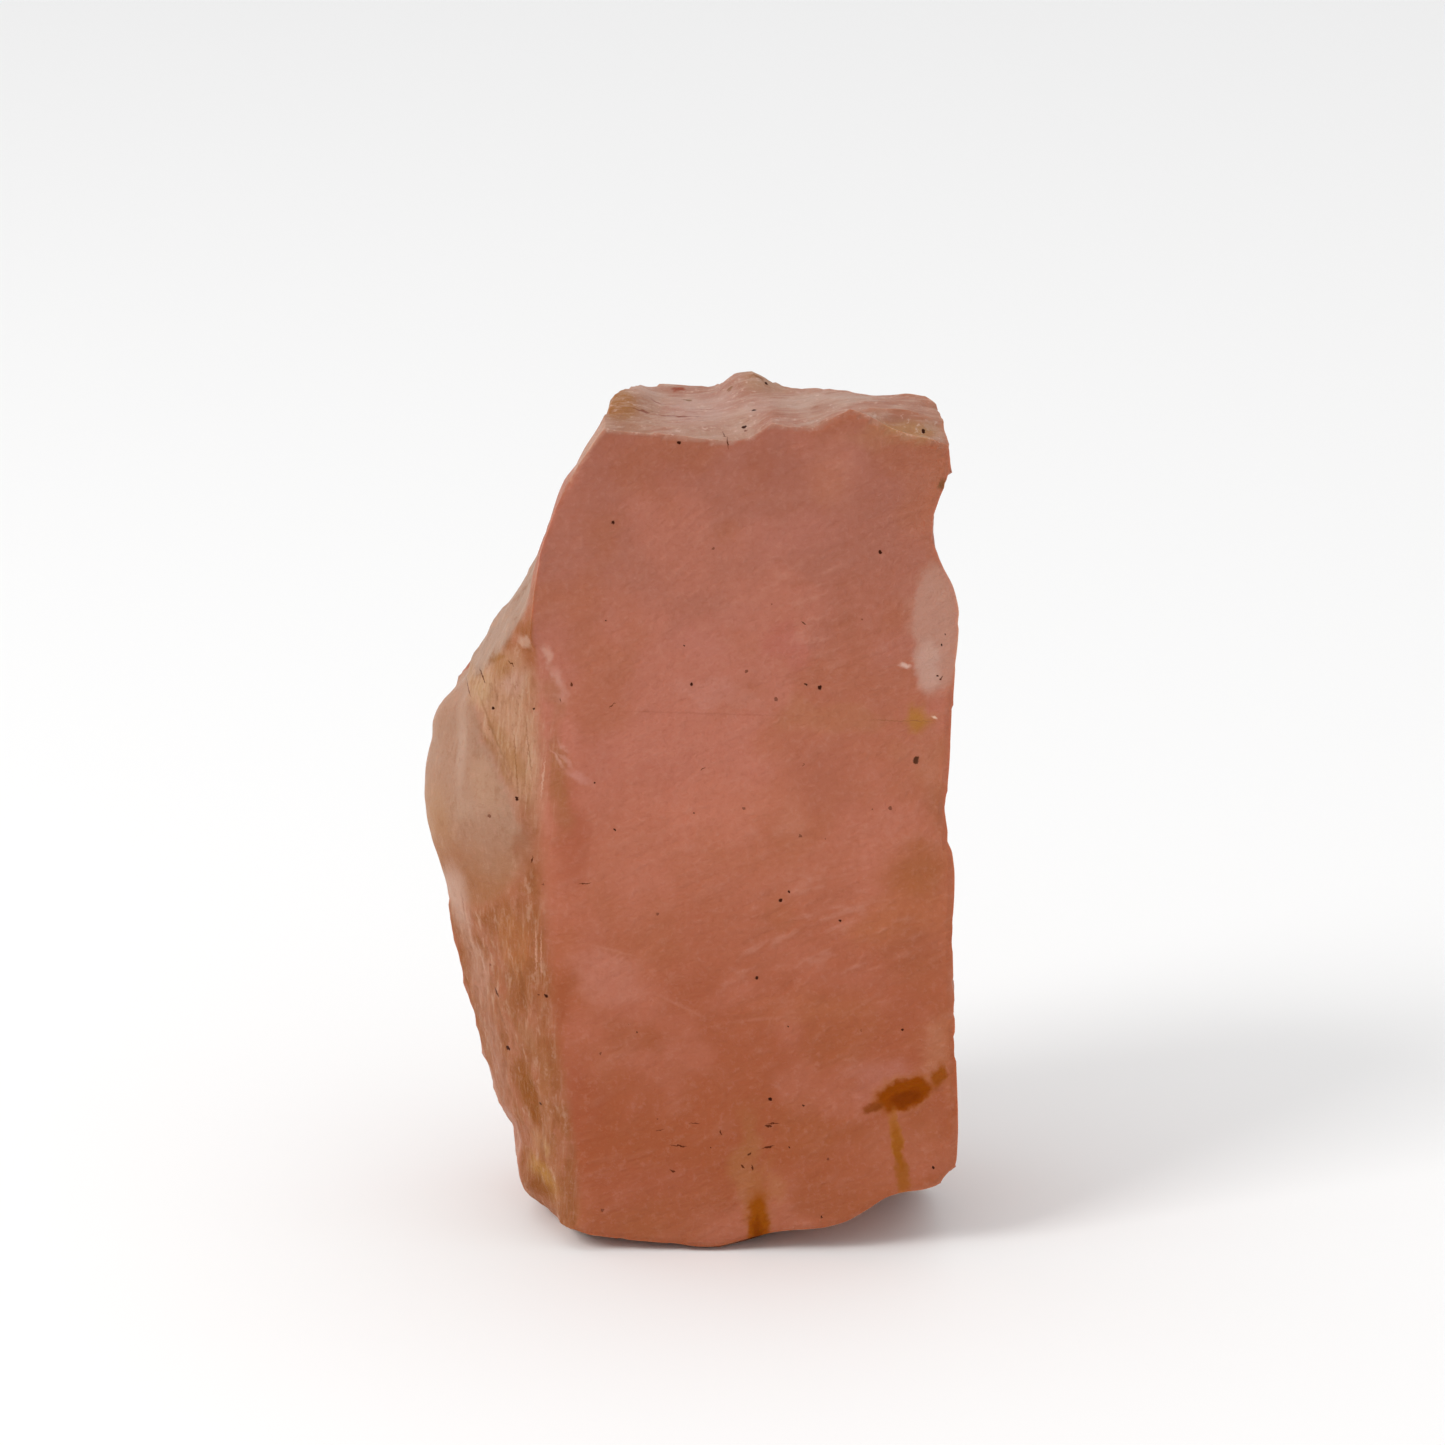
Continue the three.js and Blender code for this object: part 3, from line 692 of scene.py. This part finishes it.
# The fine patterns: on which places, how far they are drawn out, turned by how many degrees about
# each axis, and the size in mm, detail and roughness of the noise.
patterns = {
    "grain": ("bent", (3.6, 1, 1), (0, -25, 0), (1.5, 2, 0.6)),
    "lines": ("bent", (5, 1, 1), (0, 0, 12), (0.9, 3, 0.65)),
    "strands": ("straight", (1, 1, 10), (0, 6, 0), (0.5, 4, 0.7)),
    "spotty": ("straight", (1, 1, 1.8), (0, 0, 0), (1.5, 5, 0.75)),
}
unevenness = (0.8, 5, 0.75)  # of the whole stone: again size, detail and roughness

# Where each pattern shows, in the order that they lie: the mask, the pattern, from and to which
# of its values, how strong, and the tone.
layers = [
    # the grain's pale side is a painted highlight on the ridges of its bumps, its dark side painted
    # shade
    ("grainy", "grain", 0.52, 0.7, 1.0, "paintedHighlight"), ("grainy", "grain", 0.47, 0.3, 1.0, "shade"),
    ("top", "lines", 0.48, 0.66, 0.4, "topPale"), ("top", "lines", 0.38, 0.3, 0.5, "topLine"),
    ("strandy", "strands", 0.5, 0.34, 0.38, "golden"),
    ("strandy", "strands", 0.5, 0.66, 0.42, "cream"),
    ("flank", "spotty", 0.46, 0.36, 0.36, "fleck"),
    ("flank", "spotty", 0.54, 0.66, 0.4, "chalky"),
    # the same over the fine unevenness of the whole stone, and a painted glint on the top
    ("all", "rough", 0.5, 0.34, 0.2, "shade"), ("all", "rough", 0.5, 0.68, 0.18, "paintedHighlight"),
    ("top", "rough", 0.56, 0.66, 0.45, "topGlint"),
]

gloss = {
    "values": {
        "Subsurface Weight": 0.6, "Subsurface Radius": (1, 0.6, 0.45), "Subsurface Scale": 0.001,
        "IOR": 1.54, "Specular IOR Level": 0.035,
    },
    "roughness": (0.36, 0.54),
    "bump": 0.9, "bumpDepth": 0.3, "grainBump": 1.2, "strandBump": 0.9,
}


def skinAt(x, z):  # about how far back the face lies, on the front or on the left flank
    return -22.5 + 0.02 * z + max(max(-14 - 0.09 * z, -17.6) - x, 0)


quartz = bpy.data.materials.new("rose_quartz")
quartz.use_nodes = True
tree = quartz.node_tree
shader = tree.nodes["Principled BSDF"]


def attribute(name):
    return put(tree, "ShaderNodeAttribute", attribute_name=name).outputs


def masksOf(name, count):
    return put(tree, "ShaderNodeSeparateXYZ", {0: attribute(name)["Vector"]}).outputs[:count]


place = vectorOf(tree, "MULTIPLY", put(tree, "ShaderNodeTexCoord").outputs["Object"], [1 / mm] * 3)
front, top, strandy = masksOf("faces", 3)
rippled, flank = masksOf("sides", 2)
grainy = sumOf(tree, "MULTIPLY_ADD", rippled, 0.22, sumOf(tree, "MULTIPLY", front, 0.08))
shown = {"grainy": grainy, "top": top, "strandy": strandy, "flank": flank}
bent = vectorOf(tree, "ADD", place, attribute("bend")["Vector"])
ragged = shifted(tree, place, 1.5, 0.9, 5.0)
fuzzy = shifted(tree, place, 0.35, 0.2)
color = attribute("skin")["Color"]

# the slanting grain on the front, lines across the top, strands up the flank, flecks on the
# flank, and the fine unevenness of the whole stone
fine = {"rough": cloud(tree, place, *unevenness)["Fac"]}
for name, (on, longer, turn, noiseOf) in patterns.items():
    where = drawn(tree, {"bent": bent, "straight": place}[on], longer, turn)
    fine[name] = cloud(tree, where, *noiseOf)["Fac"]
# those on the grain and the fine unevenness paint highlight on the bumps' ridges, shade in their
# hollows
for mask, pattern, low, high, strength, mark in layers:
    amount = between(tree, fine[pattern], low, high, (0.0, strength))
    if mask in shown:
        amount = sumOf(tree, "MULTIPLY", shown[mask], amount)
    color = blend(tree, amount, color, tone(marks[mark]))

# the stains and clear spots, with the two painted glints among them
for (x, z), (wide, high), rise, code, strength, core in stainsAndGlints:
    tintSpot = spot(tree, ragged, (x, skinAt(x, z), z), (wide, deep["tintSpot"], high), rise)
    color = blend(tree, between(tree, tintSpot, 1.0, core, (0.0, strength)), color, tone(code))
for at, reach, code in topMarks:
    tintSpot = spot(tree, ragged, at, reach)
    color = blend(tree, between(tree, tintSpot, 1.0, 0.5, (0.0, 0.85)), color, tone(code))

for (x, z), (wide, high), rise, code, strength, core in seams:
    seam = spot(tree, fuzzy, (x, skinAt(x, z), z), (wide, deep["seam"], high), rise)
    color = blend(tree, between(tree, seam, 1.0, core, (0.0, strength)), color, tone(code))
dots = [((x, skinAt(x, z), z), (wide, deep["speck"], wide), 0) for x, z, wide in frontSpecks]
for at, wide in sideSpecks:
    onTop = at[2] > 96
    reach = (wide, 1.4 * wide, deep["topSpeck"]) if onTop else (wide, deep["sideSpeck"], wide)
    dots.append((at, reach, 0))
dot = nearest(tree, fuzzy, dots)
color = blend(tree, between(tree, dot, 1.0, 0.65), color, tone(marks["speck"]))
lines = [((x, skinAt(x, z), z), (half, deep["crack"], wide), rise)
         for x, z, half, wide, rise in cracks]
line = nearest(tree, fuzzy, lines)
color = blend(tree, between(tree, line, 1.1, 0.6, (0.0, 0.95)), color, tone(marks["crack"]))
tiny = put(tree, "ShaderNodeTexVoronoi", {"Vector": fuzzy, "Scale": 0.3}, feature="F1").outputs
size = put(tree, "ShaderNodeSeparateColor", {0: tiny["Color"]}).outputs[0]
faint = sumOf(tree, "LESS_THAN", tiny["Distance"], between(tree, size, 0.5, 1.0, (0.0, 0.07)))
color = blend(tree, sumOf(tree, "MULTIPLY", faint, 0.75), color, tone(marks["faint"]))

tree.links.new(color, shader.inputs["Base Color"])
shader.subsurface_method = "RANDOM_WALK"
for socket, value in gloss["values"].items():
    shader.inputs[socket].default_value = value
tree.links.new(between(tree, fine["rough"], 0.35, 0.65, gloss["roughness"]),
               shader.inputs["Roughness"])
grains = sumOf(tree, "MULTIPLY", fine["grain"], front)
height = sumOf(tree, "MULTIPLY_ADD", grains, gloss["grainBump"], fine["rough"])
raised = sumOf(tree, "MULTIPLY", fine["strands"], strandy)
height = sumOf(tree, "MULTIPLY_ADD", raised, gloss["strandBump"], height)
bump = put(tree, "ShaderNodeBump", {"Height": height, "Strength": gloss["bump"],
                                    "Distance": gloss["bumpDepth"] * mm})
tree.links.new(bump.outputs[0], shader.inputs["Normal"])
lump.data.materials.append(quartz)
print("stone painted")

# The studio

studio = {
    "floor": "f4f3f1", "floorRadius": 7, "floorRoughness": 0.9,
    "world": (0.97, 0.98, 1.0, 1), "worldStrength": 0.86,
    "target": (0.0038, -0.00069, 0.0589), "distance": 0.6, "elevation": 14, "lens": 124.8,
    "lamps": {
        "ceiling": {"from": (0, 0.8, 2.5), "size": 5, "power": 8},
        "key": {"from": (-1, -0.8, 1.05), "size": 0.6, "power": 11},
    },
}

floor = bpy.data.objects.new("floor", bpy.data.meshes.new("floor"))
bpy.context.scene.collection.objects.link(floor)
bm = bmesh.new()
bmesh.ops.create_circle(bm, cap_ends=True, radius=studio["floorRadius"], segments=96)
bm.to_mesh(floor.data)
bm.free()
paper = bpy.data.materials.new("paper")
paper.use_nodes = True
sheen = paper.node_tree.nodes["Principled BSDF"]
sheen.inputs["Base Color"].default_value = tone(studio["floor"])
sheen.inputs["Roughness"].default_value = studio["floorRoughness"]
floor.data.materials.append(paper)

world = bpy.data.worlds.new("studio")
world.use_nodes = True
sky = world.node_tree.nodes["Background"]
sky.inputs["Color"].default_value = studio["world"]
sky.inputs["Strength"].default_value = studio["worldStrength"]
bpy.context.scene.world = world
bpy.context.scene.view_settings.view_transform = "Standard"

for name, lamp in studio["lamps"].items():
    light = bpy.data.lights.new(name, "AREA")
    light.size, light.energy = lamp["size"], lamp["power"]
    holder = bpy.data.objects.new(name, light)
    holder.location = lamp["from"]
    aim = Vector(studio["target"]) - holder.location
    holder.rotation_euler = aim.to_track_quat("-Z", "Y").to_euler()
    bpy.context.scene.collection.objects.link(holder)

camera = bpy.data.objects.new("camera", bpy.data.cameras.new("camera"))
bpy.context.scene.collection.objects.link(camera)
camera.data.lens = studio["lens"]
rise = math.radians(studio["elevation"])
away = Vector((0, -math.cos(rise), math.sin(rise)))
camera.location = Vector(studio["target"]) + away * studio["distance"]
camera.rotation_euler = (-away).to_track_quat("-Z", "Y").to_euler()
bpy.context.scene.camera = camera
print("studio lit")
